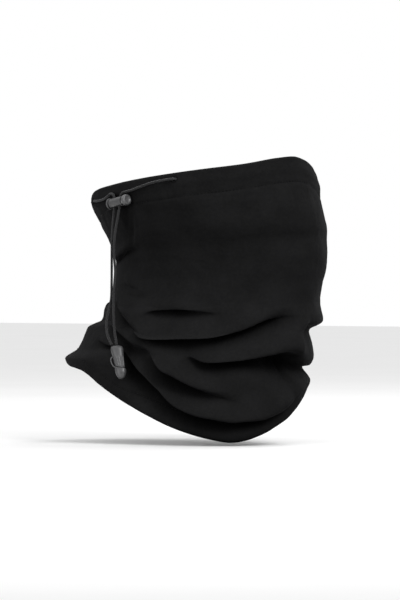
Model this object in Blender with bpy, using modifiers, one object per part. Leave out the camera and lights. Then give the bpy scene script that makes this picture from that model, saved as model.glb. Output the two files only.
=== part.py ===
"""Drawcord neck gaiter: a gathered fleece tube with a cord channel at the face, a barrel cord lock and a cord end.

Metres, +Z up. The wearer faces -Y. The origin lies on the neck's axis, level with the lowest point of the hem.
The wall is lofted in a plane turned LOFT_TURN from the wearer's own, where the swell over the face and the hollow
at the nape are both in profile. Points in that plane are (side, deep, height) in millimetres: side runs from the
nape towards the face, deep runs away from the cord lock's side, and height is along +Z.
"""
import math

import bmesh
import bpy
import numpy as np
from mathutils import Matrix, Vector

MM = 0.001
LOFT_TURN = math.radians(-56.0)
SIDE = Vector((math.cos(LOFT_TURN), math.sin(LOFT_TURN), 0.0))
DEEP = Vector((-math.sin(LOFT_TURN), math.cos(LOFT_TURN), 0.0))

# Fleece tube
WALL = 2.4                     # brushed double-faced fleece
DEPTH_RATIO = 0.87             # half depth over half width of every section
SKEW = -0.237                  # how far the face end of a section turns towards the lock's side
SEAM_ANGLE = -117.0            # nape centre
ANGLES = 54                    # columns of the loft
BODY_ROWS = 18
FOLD_RELIEF = 0.6              # the solid carries the folds softened
FOLD_DROP = 0.3

# Profiles of the wall: (height, side)
NAPE_PROFILE = [(0, -108), (20, -116), (40, -120), (60, -122.5), (70, -121), (80, -113), (90, -104), (100, -96.5),
                (110, -91.5), (120, -87), (134, -83), (152, -80), (167, -83), (177, -86.5), (186, -91), (198, -96),
                (210, -100), (250, -100)]
FACE_PROFILE = [(0, 76), (20, 81), (40, 85), (60, 87), (80, 89), (100, 92), (116, 97.5), (136, 100), (150, 103),
                (166, 105), (184, 105), (198, 102.5), (212, 99.5), (225, 98), (250, 94)]
# Edges of the wall: (angle round the section, height)
RIM_HEIGHT = [(-120, 206), (-90, 210), (-80, 215), (-68, 219), (-50, 223.5), (-25, 229.5), (0, 235), (20, 239),
              (42, 244.5), (55, 246), (66, 243), (78, 237), (90, 230), (115, 222), (150, 215), (180, 211), (210, 207)]
HEM_HEIGHT = [(-115, 68), (-90, 69), (-75, 64), (-61, 60), (-47, 48), (-32, 34), (-18, 20), (-4, 9), (10, 2),
              (21, 0), (36, 5), (52, 17), (69, 36), (82, 48), (95, 56), (125, 60), (150, 58), (180, 56), (210, 60)]
# Gathered folds: (angle, height of the crease, depth, reach)
FOLDS = [
    [(-46, 117, 0, 8), (-34, 117, 4.5, 8), (-18, 117, 6, 8), (-5, 115, 4, 8), (10, 113, 0, 8)],
    [(-100, 124, 0, 9), (-66, 116, 5, 9), (-46, 104, 8, 10), (-27, 91.5, 10, 11), (-15, 88, 10, 11),
     (0, 87, 9, 11), (12, 91, 8, 10), (24, 98, 6.5, 10), (38, 106, 3, 10), (55, 112, 0, 10)],
    [(-75, 104, 0, 9), (-62, 99, 3, 9), (-50, 93, 5, 9), (-38, 84, 9, 9), (-31, 78, 11, 9), (-24, 71, 11, 9),
     (-14, 62, 9, 9), (-5, 54, 7, 9), (8, 48, 4.5, 9), (18, 42, 2, 9), (28, 37, 0, 9)],
    [(-56, 80, 0, 9), (-48, 73, 1.5, 9), (-38, 62, 5, 9), (-28, 52, 10, 10), (-15, 41, 12, 10), (-6, 33, 12, 10),
     (5, 25, 11, 10), (14, 18.5, 9, 9), (25, 15.5, 7, 8), (36, 16.5, 4.5, 8), (50, 26, 2.5, 8),
     (66, 40, 1.5, 8), (80, 52, 0, 8)],
    [(-8, 76, 0, 8), (1, 72, 4, 8), (8, 66, 7, 9), (20, 68, 8, 10), (32, 71.5, 9, 11), (44, 74, 11, 13),
     (56, 73, 11, 13), (66, 69, 9, 11), (76, 66, 6, 9), (95, 66, 3, 9), (120, 72, 0, 9)],
    [(105, 98, 0, 10), (130, 104, 6, 11), (160, 108, 8, 12), (190, 104, 7, 11), (215, 98, 4, 10), (235, 96, 0, 10)],
    [(95, 84, 0, 9), (120, 80, 5, 10), (150, 82, 7, 11), (180, 84, 6, 10), (210, 84, 3, 9), (232, 88, 0, 9)],
]

# Hems, seam and thread
CHANNEL = 22.0                 # depth of the drawcord channel below the rim
HEM_DEPTH = 12.0
FACING_INSET = WALL + 0.5      # the turned layer, clear of the wall
HEM_FACING_INSET = WALL + 2.4  # the lowest fold leans the wall over this one
FACING = 1.2
CHANNEL_ROOM = 4.4
LABEL_TOP, LABEL_INSET, LABEL_RIBBON = 134.0, WALL + 2.2, 0.5
THREAD_RADIUS = 0.3
THREAD_LIFT = 0.8              # thread's centre above the outer face

# Drawcord
CORD = 2.1
CORD_INSET = 4.7               # the cord's centre inside the channel
CORD_DROP = 10.0               # ... and below the rim
EYELETS = {"back": (-74.0, 208.3), "front": (-14.5, 226.4)}      # angle, height
EYELET_HOLE = 1.75
EYELET_RING, EYELET_WIRE, EYELET_LIFT = 2.45, 0.5, 1.05
# Routes of the two free strands below the channel, (side, deep, height)
BACK_ROUTE = [(-92.5, 0.1, 208.6), (-97.4, -1.5, 208.6), (-98.4, -6.5, 208.5), (-96.2, -14.0, 208.4),
              (-92.0, -22.6, 209.0), (-88.6, -29.6, 210.3), (-85.6, -34.8, 212.5), (-83.7, -37.6, 214.2),
              (-81.4, -40.5, 213.9), (-80.1, -42.2, 211.7), (-79.8, -43.6, 207.6), (-80.0, -44.8, 202.6),
              (-80.7, -46.3, 194.0), (-81.6, -48.5, 182.0), (-82.0, -50.8, 172.0), (-82.1, -49.6, 160.0),
              (-82.1, -50.9, 148.0), (-82.2, -52.0, 136.0), (-82.6, -53.0, 124.0), (-84.8, -54.2, 114.0),
              (-86.3, -55.8, 106.0), (-86.3, -58.0, 97.0), (-84.4, -60.2, 90.0), (-81.9, -61.8, 84.5)]
FRONT_ROUTE = [(-24.3, -73.8, 226.4), (-26.3, -78.2, 226.5), (-30.5, -80.4, 226.3), (-38.0, -77.8, 225.3),
               (-48.0, -71.5, 223.2), (-58.0, -64.0, 219.8), (-65.0, -58.2, 217.2), (-69.8, -53.7, 216.0),
               (-73.1, -50.6, 214.7), (-74.8, -48.6, 210.9), (-75.1, -50.0, 204.5), (-77.1, -50.8, 193.0),
               (-79.0, -51.6, 182.0), (-80.0, -53.1, 172.0), (-80.2, -53.0, 163.0), (-79.5, -53.9, 154.0),
               (-79.1, -54.6, 147.0), (-79.6, -55.1, 139.0), (-80.3, -55.7, 130.0), (-80.4, -56.3, 120.0),
               (-80.2, -57.2, 106.0), (-79.3, -59.0, 95.0), (-78.4, -60.5, 89.5), (-77.7, -61.8, 84.5)]
CORD_STEP = 2.6                # spacing of the tube's points

# Barrel cord lock, along its axis from the retainer's outer face
LOCK_CENTRE = (-77.6, -46.4, 207.0)
LOCK_CENTRE_AT = 9.5
LOCK_TURN = math.radians(48.0)
LOCK_TILT = math.radians(9.5)
STRAND_LEAN = (0.13, 0.12)     # side and deep per unit of height, up the strands
RETAINER = (0.0, 1.4)
HOUSING = (1.7, 17.9)
BUTTON = (20.0, 23.8)
HOUSING_RADIUS = 4.1
BORE_RADIUS = 3.1
STEM_RADIUS = 2.8
FLANGE_RADIUS = 4.6
BUTTON_RADIUS = 4.7
SLOT = (3.3, 15.7)             # both strands side by side
SLOT_WIDTH = 3.2
BUTTON_TRAVEL = 1.8
SPRING_SEAT = 16.2
CHAMFER = 0.5
SPRING_RADIUS = 3.3
SPRING_WIRE = 0.2
SPRING_TURNS = 3

# Cord end: hinge point between the two strands' ends, and its lean
END_HINGE = (-80.0, -61.8, 84.3)
END_LEAN = math.radians(7.0)
END_OUT = math.radians(24.0)
END_AXIS_X = 1.4               # the shell's middle beside the hinge point
STRAND_X = (-1.9, 2.3)
STRAND_HOLE = 1.35             # radius of each strand's hole in the shell's top
SHELL_WALL, CAP_WALL = 0.9, 1.1
TAIL_TOP = -1.2                # the tails' end faces, clear of the strands through the swing
KNOT_CENTRE = -15.0
KNOT_SIZE = (2.5, 2.0, 3.0)
KNOT_GATHER = 0.42             # how far apart the tails meet the knot, over their spacing at the top
SHELL_STATIONS = [(-1.8, 4.8, 2.9), (-2.6, 5.1, 3.6), (-4.2, 5.3, 3.9), (-12.0, 4.7, 3.8), (-20.6, 3.9, 3.5),
                  (-21.4, 3.7, 3.3)]
SHELL_VOID = [(-4.2, 5.3, 3.9), (-12.0, 4.7, 3.8), (-23.0, 3.75, 3.45)]
CAP_STATIONS = [(-21.8, 4.3, 3.7), (-22.8, 4.8, 4.1), (-25.6, 4.6, 3.9), (-29.0, 3.2, 2.9), (-30.6, 2.4, 2.2),
                (-31.2, 1.6, 1.5)]
CAP_PIVOT = (-3.7, -22.4)       # the snap cap's hinge line, across the piece
CAP_VOID = [(-19.0, 4.6, 3.9), (-25.6, 4.6, 3.9), (-27.5, 3.4, 3.0)]
STRAP_ROUTE = [(-3.5, -10.6), (-5.0, -11.4), (-5.9, -13.6), (-5.8, -16.2), (-4.9, -18.8), (-4.0, -20.9)]
STRAP_RADIUS = 0.5


def curve_through(points, x, period=None):
    """Height, side or fold values at x, on a smooth curve through the points that never overshoots them."""
    rows = np.array(sorted(points), float)
    knots, values = rows[:, 0], rows[:, 1:]
    if period:
        knots = np.concatenate([knots - period, knots, knots + period])
        values = np.concatenate([values, values, values])
    gap = np.diff(knots)[:, None]
    slope = np.diff(values, axis=0) / gap
    tangent = np.zeros_like(values)
    same_way = slope[:-1] * slope[1:] > 0
    safe = np.where(same_way, slope[:-1] * slope[1:], 1.0)
    weight_a = 2 * gap[1:] + gap[:-1]
    weight_b = gap[1:] + 2 * gap[:-1]
    mean = (weight_a + weight_b) * safe / (weight_a * slope[1:] + weight_b * slope[:-1] + (~same_way))
    tangent[1:-1] = np.where(same_way, mean, 0.0)
    tangent[0], tangent[-1] = slope[0], slope[-1]
    x = min(max(x, knots[0]), knots[-1])
    i = min(int(np.searchsorted(knots, x, side="right")) - 1, len(knots) - 2)
    t, h = (x - knots[i]) / gap[i, 0], gap[i, 0]
    result = ((2 * t**3 - 3 * t**2 + 1) * values[i] + (t**3 - 2 * t**2 + t) * h * tangent[i]
              + (3 * t**2 - 2 * t**3) * values[i + 1] + (t**3 - t**2) * h * tangent[i + 1])
    return result


def wrapped(angle, start=-180.0):
    return (angle - start) % 360.0 + start


def rim(angle):
    return float(curve_through(RIM_HEIGHT, wrapped(angle), 360.0)[0])


def hem(angle):
    return float(curve_through(HEM_HEIGHT, wrapped(angle), 360.0)[0])


def section(angle, height):
    """Unfolded wall, as (side, deep, height)."""
    nape = float(curve_through(NAPE_PROFILE, height)[0])
    face = float(curve_through(FACE_PROFILE, height)[0])
    middle, half = (nape + face) / 2, (face - nape) / 2
    turn = math.radians(angle)
    return Vector((middle + half * math.sin(turn),
                   -DEPTH_RATIO * half * math.cos(turn) + SKEW * half * math.sin(turn), height))


def outward(angle, height):
    along = section(angle + 0.5, height) - section(angle - 0.5, height)
    up = section(angle, height + 1.0) - section(angle, height - 1.0)
    return along.cross(up).normalized()


def fold_shift(angle, height):
    """How far the gathered folds push the wall out and down."""
    out = down = 0.0
    for fold in FOLDS:
        place = wrapped(angle, fold[0][0] - 1.0)
        if place > fold[-1][0] or place < fold[0][0]:
            continue
        crease, depth, reach = curve_through(fold, place)
        p = (height - crease) / reach
        roll = p * math.exp((1 - p * p) / 2)
        out += FOLD_RELIEF * depth * roll * (1.0 if p > 0 else 0.7)
        down -= FOLD_DROP * FOLD_RELIEF * depth * roll
    return out, down


def wall_point(angle, height, inset=0.0):
    """A point inset millimetres inside the wall's outer face; height is that of the unfolded wall."""
    normal = outward(angle, height)
    out, down = fold_shift(angle, height)
    return section(angle, height) + normal * (out - inset) + Vector((0, 0, down))


def world(point):
    side, deep, height = point
    return (SIDE * side + DEEP * deep + Vector((0, 0, height))) * MM


def world_direction(direction):
    return (SIDE * direction[0] + DEEP * direction[1] + Vector((0, 0, direction[2]))).normalized()


COLUMN_ANGLES = [SEAM_ANGLE + 360.0 * k / ANGLES for k in range(ANGLES)]


def wall_heights(angle):
    """Heights of the loft's rows down one column."""
    top, bottom = rim(angle), hem(angle)
    start, stop = top - CHANNEL - 4, bottom + HEM_DEPTH + 4
    rows = [top, top - 3, top - 11, top - CHANNEL]
    rows += [start + (stop - start) * k / (BODY_ROWS - 1) for k in range(BODY_ROWS)]
    rows += [bottom + HEM_DEPTH, bottom + 3, bottom]
    return rows


# ---------------------------------------------------------------------------------------------- object helpers

def clear_scene():
    for item in list(bpy.data.objects):
        bpy.data.objects.remove(item, do_unlink=True)


def new_collection(name):
    collection = bpy.data.collections.new(name)
    bpy.context.scene.collection.children.link(collection)
    return collection


def material(name, colour, roughness, metallic=0.0):
    finish = bpy.data.materials.new(name)
    finish.use_nodes = True
    shader = finish.node_tree.nodes["Principled BSDF"]
    shader.inputs["Base Color"].default_value = (*colour, 1.0)
    shader.inputs["Roughness"].default_value = roughness
    shader.inputs["Metallic"].default_value = metallic
    return finish


def add(name, data, finish, collection=None):
    item = bpy.data.objects.new(name, data)
    (collection or PARTS).objects.link(item)
    if finish:
        data.materials.append(finish)
    return item


def cutter(name, data, matrix=None):
    item = add(name, data, None, CUTTERS)
    item.hide_render = True
    item.display_type = "WIRE"
    if matrix:
        item.matrix_world = matrix
    return item


def boolean(item, other, operation="DIFFERENCE"):
    cut = item.modifiers.new(other.name, "BOOLEAN")
    cut.operation = operation
    cut.solver = "EXACT"
    cut.object = other


def rings_mesh(name, rings, close_ends=False, close_loop=False):
    """Loft between rings of points; a loft that closes on itself needs no ends."""
    bm = bmesh.new()
    loops = [[bm.verts.new(p) for p in ring] for ring in rings]
    pairs = list(zip(loops, loops[1:]))
    if close_loop:
        pairs.append((loops[-1], loops[0]))
    for upper, lower in pairs:
        count = len(upper)
        for k in range(count):
            n = (k + 1) % count
            bm.faces.new((upper[k], lower[k], lower[n], upper[n]))
    if close_ends:
        bm.faces.new(loops[0])
        bm.faces.new(list(reversed(loops[-1])))
    bmesh.ops.recalc_face_normals(bm, faces=bm.faces)
    mesh = bpy.data.meshes.new(name)
    bm.to_mesh(mesh)
    bm.free()
    mesh.shade_smooth()
    return mesh


def cylinder_mesh(name, radius, length, segments=24):
    bm = bmesh.new()
    bmesh.ops.create_cone(bm, cap_ends=True, segments=segments, radius1=radius * MM, radius2=radius * MM,
                          depth=length * MM)
    mesh = bpy.data.meshes.new(name)
    bm.to_mesh(mesh)
    bm.free()
    return mesh


def turned(name, profile, finish, matrix, steps=32):
    """A turned piece; the profile (radius, place along the axis) runs down its outer side from the +Z end."""
    mesh = bpy.data.meshes.new(name)
    edges = [(k, k + 1) for k in range(len(profile) - 1)]
    if profile[0][0] > 0:
        edges.append((len(profile) - 1, 0))
    mesh.from_pydata([(r * MM, 0, a * MM) for r, a in profile], edges, [])
    item = add(name, mesh, finish)
    item.matrix_world = matrix
    screw = item.modifiers.new("turn", "SCREW")
    screw.axis = "Z"
    screw.steps = screw.render_steps = steps
    screw.use_merge_vertices = True
    screw.merge_threshold = 0.00001
    screw.use_smooth_shade = True
    return item


def tube(name, points, radius, finish, cyclic=False, resolution=2, collection=None):
    curve = bpy.data.curves.new(name, "CURVE")
    curve.dimensions = "3D"
    curve.bevel_depth = radius * MM
    curve.bevel_resolution = resolution
    curve.use_fill_caps = not cyclic
    spline = curve.splines.new("POLY")
    spline.points.add(len(points) - 1)
    for knot, p in zip(spline.points, points):
        knot.co = (*p, 1.0)
    spline.use_cyclic_u = cyclic
    spline.use_smooth = True
    return add(name, curve, finish, collection)


def as_mesh(item, name, finish, collection=None):
    """The curve object remade as a mesh object with its caps welded."""
    evaluated = item.evaluated_get(bpy.context.evaluated_depsgraph_get())
    mesh = bpy.data.meshes.new_from_object(evaluated)
    bm = bmesh.new()
    bm.from_mesh(mesh)
    bmesh.ops.remove_doubles(bm, verts=bm.verts, dist=0.00001)
    bm.to_mesh(mesh)
    bm.free()
    mesh.materials.clear()
    place = item.matrix_world.copy()
    bpy.data.objects.remove(item, do_unlink=True)
    solid = add(name, mesh, finish, collection)
    solid.matrix_world = place
    return solid


def smooth_route(route, step):
    """Points a step apart on a smooth curve through the route's own points."""
    knots = [Vector(p) for p in route]
    knots = [knots[0] * 2 - knots[1]] + knots + [knots[-1] * 2 - knots[-2]]
    fine = []
    for p0, p1, p2, p3 in zip(knots, knots[1:], knots[2:], knots[3:]):
        for k in range(24):
            t = k / 24
            fine.append(0.5 * (2 * p1 + (p2 - p0) * t + (2 * p0 - 5 * p1 + 4 * p2 - p3) * t**2
                               + (3 * p1 - p0 - 3 * p2 + p3) * t**3))
    fine.append(knots[-2])
    lengths = np.cumsum([0.0] + [(b - a).length for a, b in zip(fine, fine[1:])])
    count = round(lengths[-1] / step) + 1
    points = []
    for goal in np.linspace(0.0, lengths[-1], count):
        i = min(int(np.searchsorted(lengths, goal)), len(fine) - 1)
        before = max(i - 1, 0)
        span = lengths[i] - lengths[before]
        t = (goal - lengths[before]) / span if span else 0.0
        points.append(fine[before].lerp(fine[i], t))
    return points


# ---------------------------------------------------------------------------------------------- fleece tube

def neck_tube(finish):
    columns = [[world(wall_point(a, h)) for h in wall_heights(a)] for a in COLUMN_ANGLES]
    rings = [list(ring) for ring in zip(*columns)]
    tube_mesh = rings_mesh("neck_tube", rings)
    wall = add("neck_tube", tube_mesh, finish)
    thickness = wall.modifiers.new("fleece", "SOLIDIFY")
    thickness.thickness = WALL * MM
    thickness.offset = -1.0
    thickness.use_even_offset = True
    for name, (angle, height) in EYELETS.items():
        hole = cutter("hole_" + name, cylinder_mesh("hole_" + name, EYELET_HOLE, 14.0), eyelet_frame(angle, height))
        boolean(wall, hole)
    return wall


def eyelet_frame(angle, height, lift=0.0):
    """Frame at a cord exit, its Z along the way out."""
    way_out = world_direction(outward(angle, height))
    place = world(wall_point(angle, height, -lift))
    return Matrix.Translation(place) @ way_out.to_track_quat("Z", "Y").to_matrix().to_4x4()


def band(name, profile, edge, sign, finish):
    """A closed band round the inside of one hem; the profile is (distance from the edge, inset)."""
    rings = []
    for distance, inset in profile:
        rings.append([world(wall_point(a, edge(a) + sign * distance, inset)) for a in COLUMN_ANGLES])
    return add(name, rings_mesh(name, rings, close_loop=True), finish)


def top_hem_facing(finish):
    near, far = FACING_INSET, WALL + CHANNEL_ROOM
    profile = [(1.0, near), (3.0, near), (4.5, far), (CHANNEL - 4.5, far), (CHANNEL - 3.0, near), (CHANNEL - 0.6, near),
               (CHANNEL - 0.6, near + FACING), (CHANNEL - 2.2, near + FACING), (CHANNEL - 3.8, far + FACING),
               (3.8, far + FACING), (2.4, near + FACING), (1.0, near + FACING)]
    return band("top_hem_facing", profile, rim, -1, finish)


def bottom_hem_facing(finish):
    near = HEM_FACING_INSET
    profile = [(1.0, near), (1.0, near + FACING), (HEM_DEPTH - 0.6, near + FACING), (HEM_DEPTH - 0.6, near)]
    return band("bottom_hem_facing", profile, hem, 1, finish)


def hem_thread(name, edge, offset, lift, finish):
    points = [world(wall_point(a, edge(a) + offset, -lift)) for a in COLUMN_ANGLES]
    return tube(name, points, THREAD_RADIUS, finish, cyclic=True, resolution=1)


def seam_thread(finish):
    heights = wall_heights(SEAM_ANGLE)[4:-4]
    points = [world(wall_point(SEAM_ANGLE, h, -THREAD_LIFT)) for h in heights]
    return tube("nape_seam_thread", points, THREAD_RADIUS, finish, resolution=1)


def care_label(finish):
    angles = [SEAM_ANGLE - 6 + 2.4 * k for k in range(6)]
    heights = [LABEL_TOP - 6 * k for k in range(6)]
    verts = [world(wall_point(a, h, LABEL_INSET)) for h in heights for a in angles]
    faces = []
    for row in range(len(heights) - 1):
        for k in range(len(angles) - 1):
            corner = row * len(angles) + k
            faces.append((corner, corner + len(angles), corner + len(angles) + 1, corner + 1))
    mesh = bpy.data.meshes.new("care_label")
    mesh.from_pydata(verts, [], faces)
    label = add("care_label", mesh, finish)
    thickness = label.modifiers.new("ribbon", "SOLIDIFY")
    thickness.thickness = LABEL_RIBBON * MM
    thickness.offset = -1.0
    return label


def eyelet(name, finish):
    angle, height = EYELETS[name]
    bpy.ops.mesh.primitive_torus_add(major_radius=EYELET_RING * MM, minor_radius=EYELET_WIRE * MM,
                                     major_segments=24, minor_segments=8)
    item = bpy.context.active_object
    item.name = item.data.name = "eyelet_" + name
    for home in list(item.users_collection):
        home.objects.unlink(item)
    PARTS.objects.link(item)
    item.data.materials.append(finish)
    item.data.shade_smooth()
    item.matrix_world = eyelet_frame(angle, height, lift=EYELET_LIFT)
    return item


def channel_cord(finish):
    """The drawcord inside the channel, the long way round from the front eyelet to the back one."""
    start, stop = EYELETS["front"][0] + 3.2, EYELETS["back"][0] + 360.0 - 3.2
    angles = [start] + [a for a in COLUMN_ANGLES + [c + 360 for c in COLUMN_ANGLES] if start + 3 < a < stop - 3]
    angles.append(stop)
    points = [world(wall_point(a, rim(a) - CORD_DROP, CORD_INSET)) for a in angles]
    return tube("channel_cord", points, CORD / 2, finish)


def strand(name, route, finish):
    points = [world(p) for p in smooth_route(route, CORD_STEP)]
    return tube(name, points, CORD / 2, finish)


# ---------------------------------------------------------------------------------------------- barrel lock

def lock_axis():
    turned_in = math.cos(LOCK_TILT)
    return world_direction((math.cos(LOCK_TURN) * turned_in, -math.sin(LOCK_TURN) * turned_in, math.sin(LOCK_TILT)))


def slide_up():
    return world_direction((*STRAND_LEAN, 1.0))


def lock_frame():
    """Frame of the lock: Z along the barrel towards the button, origin at the retainer's outer face."""
    z = lock_axis()
    y = z.cross(slide_up()).normalized()
    x = y.cross(z)
    rotation = Matrix((x, y, z)).transposed().to_4x4()
    origin = world(LOCK_CENTRE) - z * LOCK_CENTRE_AT * MM
    return Matrix.Translation(origin) @ rotation


def slot_cutter(name, start, stop):
    """A slot through the barrel along the strands, round at both ends."""
    radius = SLOT_WIDTH / 2
    ends = (start + radius, stop - radius)
    outline = []
    for centre, turn in ((ends[1], -90), (ends[0], 90)):
        for k in range(9):
            angle = math.radians(turn + 22.5 * k)
            outline.append((centre + radius * math.cos(angle), radius * math.sin(angle)))
    frame = lock_frame()
    z, y = frame.col[2].to_3d(), frame.col[1].to_3d()
    rings = []
    for height in (9.0, -9.0):
        rings.append([frame.translation + z * a * MM + y * b * MM + slide_up() * height * MM for a, b in outline])
    return cutter(name, rings_mesh(name, rings, close_ends=True))


def cord_lock(finish, button_finish, steel):
    frame = lock_frame()
    seat = (BUTTON_RADIUS - 1.0, HOUSING[1] - 1.7)
    housing_profile = [(BORE_RADIUS, seat[1]), seat, (seat[0], HOUSING[1]),
                       (HOUSING_RADIUS, HOUSING[1]), (HOUSING_RADIUS, HOUSING[0] + CHAMFER),
                       (HOUSING_RADIUS - CHAMFER, HOUSING[0]), (BORE_RADIUS, HOUSING[0])]
    housing = turned("lock_housing", housing_profile, finish, frame)
    boolean(housing, slot_cutter("housing_slot", *SLOT))
    retainer_profile = [(0, RETAINER[1]), (FLANGE_RADIUS, RETAINER[1]), (FLANGE_RADIUS, 0.4), (FLANGE_RADIUS - CHAMFER, 0),
                        (0, 0)]
    turned("lock_retainer", retainer_profile, finish, frame)
    plunger_profile = [(0, BUTTON[1] - 0.5), (1.6, BUTTON[1] - 0.4), (3.2, BUTTON[1]), (4.2, BUTTON[1] - 0.3),
                       (BUTTON_RADIUS, BUTTON[1] - 1.1), (BUTTON_RADIUS, BUTTON[0] + 0.5),
                       (BUTTON_RADIUS - 0.5, BUTTON[0]), (3.8, BUTTON[0]), (3.8, BUTTON[0] + 1.3),
                       (STEM_RADIUS, BUTTON[0] + 1.3), (STEM_RADIUS, RETAINER[1] + 0.3), (0, RETAINER[1] + 0.3)]
    plunger = turned("lock_plunger", plunger_profile, button_finish, frame)
    boolean(plunger, slot_cutter("plunger_slot", SLOT[0], SLOT[1] + BUTTON_TRAVEL))
    first, last = SPRING_SEAT + SPRING_WIRE + 0.15, BUTTON[0] + 1.3 - SPRING_WIRE - 0.15
    coil = []
    for k in range(SPRING_TURNS * 16 + 1):
        turn = 2 * math.pi * k / 16
        place = first + (last - first) * k / (SPRING_TURNS * 16)
        coil.append(Vector((SPRING_RADIUS * math.cos(turn), SPRING_RADIUS * math.sin(turn), place)) * MM)
    spring = tube("lock_spring", coil, SPRING_WIRE, steel, resolution=1)
    spring.matrix_world = frame


# ---------------------------------------------------------------------------------------------- cord end

def end_frame():
    """Frame of the cord end: origin at its hinge point, X along the hinge line, Z up the piece."""
    z = world_direction((-math.sin(END_LEAN), math.sin(END_OUT), math.cos(END_LEAN)))
    x = (SIDE - z * SIDE.dot(z)).normalized()
    rotation = Matrix((x, z.cross(x), z)).transposed().to_4x4()
    return Matrix.Translation(world(END_HINGE)) @ rotation


def oval(height, half_x, half_y, count=28, shrink=0.0):
    """A rounded, slightly squared section."""
    points = []
    for k in range(count):
        turn = 2 * math.pi * k / count
        c, s = math.cos(turn), math.sin(turn)
        x = math.copysign(abs(c) ** 0.8, c) * (half_x - shrink)
        y = math.copysign(abs(s) ** 0.8, s) * (half_y - shrink)
        points.append(Vector(((END_AXIS_X + x) * MM, y * MM, height * MM)))
    return points


def lofted(name, stations, frame, finish, shrink=0.0, collection=None):
    rings = [oval(z, hx, hy, shrink=shrink) for z, hx, hy in stations]
    item = add(name, rings_mesh(name, rings, close_ends=True), finish, collection)
    item.matrix_world = frame
    return item


def hollow(item, stations, frame, shell_wall):
    void = lofted("void_" + item.name, stations, frame, None, shrink=shell_wall, collection=CUTTERS)
    void.hide_render = True
    void.display_type = "WIRE"
    boolean(item, void)


def cord_end(finish, strap_finish, cord_finish):
    frame = end_frame()
    shell = lofted("cord_end_shell", SHELL_STATIONS, frame, finish)
    hollow(shell, SHELL_VOID, frame, SHELL_WALL)
    for k, x in enumerate(STRAND_X):
        hole = cylinder_mesh("strand_hole_%d" % k, STRAND_HOLE, 12.0)
        boolean(shell, cutter("strand_hole_%d" % k, hole, frame @ Matrix.Translation(Vector((x, 0, -3.0)) * MM)))
    cap = lofted("cord_end_cap", CAP_STATIONS, frame, finish)
    hollow(cap, CAP_VOID, frame, CAP_WALL)
    pivot = Vector((CAP_PIVOT[0], 0, CAP_PIVOT[1])) * MM
    cap.data.transform(Matrix.Translation(-pivot))
    cap.matrix_world = frame @ Matrix.Translation(pivot)
    strap_points = [p * MM for p in smooth_route([(x, 0, z) for x, z in STRAP_ROUTE], 0.9)]
    strap = tube("cord_end_strap", strap_points, STRAP_RADIUS, strap_finish)
    strap.matrix_world = frame
    knot_mesh = bpy.data.meshes.new("cord_knot")
    bm = bmesh.new()
    bmesh.ops.create_uvsphere(bm, u_segments=16, v_segments=10, radius=1.0)
    bmesh.ops.scale(bm, vec=Vector(KNOT_SIZE) * MM, verts=bm.verts)
    bmesh.ops.translate(bm, vec=Vector((END_AXIS_X, 0, KNOT_CENTRE)) * MM, verts=bm.verts)
    bm.to_mesh(knot_mesh)
    bm.free()
    knot = add("cord_knot", knot_mesh, cord_finish)
    knot.matrix_world = frame
    for k, x in enumerate(STRAND_X):
        inner = END_AXIS_X + (x - END_AXIS_X) * KNOT_GATHER
        tail = smooth_route([(inner, 0, KNOT_CENTRE), (inner, 0, -12.5), ((x + inner) / 2, 0, -9.0),
                             (x, 0, -5.5), (x, 0, TAIL_TOP)], 1.2)
        guide = tube("tail_%d" % k, [p * MM for p in tail], CORD / 2, None, collection=CUTTERS)
        guide.matrix_world = frame
        bpy.context.view_layer.update()
        solid = as_mesh(guide, "tail_%d" % k, None, CUTTERS)
        solid.hide_render = True
        solid.display_type = "WIRE"
        boolean(knot, solid, "UNION")


def build():
    fleece = material("fleece", (0.012, 0.012, 0.013), 0.95)
    lining = material("fleece_facing", (0.011, 0.011, 0.012), 0.95)
    thread = material("thread", (0.016, 0.016, 0.017), 0.7)
    cord = material("cord", (0.035, 0.035, 0.036), 0.75)
    plastic = material("lock_plastic", (0.085, 0.085, 0.087), 0.38)
    steel = material("spring_steel", (0.55, 0.55, 0.56), 0.3, 1.0)
    ribbon = material("label_ribbon", (0.02, 0.02, 0.022), 0.6)
    neck_tube(fleece)
    top_hem_facing(lining)
    bottom_hem_facing(lining)
    hem_thread("top_hem_thread", rim, -CHANNEL + 1.2, THREAD_LIFT, thread)
    hem_thread("bottom_hem_thread", hem, HEM_DEPTH - 1.2, THREAD_LIFT + 0.6, thread)
    seam_thread(thread)
    care_label(ribbon)
    for name in EYELETS:
        eyelet(name, thread)
    channel_cord(cord)
    strand("strand_back", BACK_ROUTE, cord)
    strand("strand_front", FRONT_ROUTE, cord)
    cord_lock(plastic, plastic, steel)
    cord_end(plastic, plastic, cord)


clear_scene()
PARTS = new_collection("neck_gaiter")
CUTTERS = new_collection("cutters")
build()
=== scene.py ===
import math

import bmesh
import bpy
import numpy as np
from mathutils import Matrix, Vector, noise

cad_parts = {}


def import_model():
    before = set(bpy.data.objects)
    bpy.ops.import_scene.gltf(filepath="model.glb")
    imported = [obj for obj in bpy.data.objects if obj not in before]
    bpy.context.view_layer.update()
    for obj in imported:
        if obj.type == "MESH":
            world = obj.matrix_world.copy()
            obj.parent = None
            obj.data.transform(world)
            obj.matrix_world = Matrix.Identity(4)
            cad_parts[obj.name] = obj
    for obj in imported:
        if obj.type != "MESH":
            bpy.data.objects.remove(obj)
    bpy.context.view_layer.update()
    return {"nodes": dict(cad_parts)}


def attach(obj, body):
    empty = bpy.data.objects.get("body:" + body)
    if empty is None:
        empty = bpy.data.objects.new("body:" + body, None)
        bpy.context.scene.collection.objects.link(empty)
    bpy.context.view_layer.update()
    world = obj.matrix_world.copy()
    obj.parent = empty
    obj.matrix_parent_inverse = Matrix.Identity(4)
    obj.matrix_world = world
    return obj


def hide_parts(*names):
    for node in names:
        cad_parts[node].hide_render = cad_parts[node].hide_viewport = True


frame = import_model()

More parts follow.
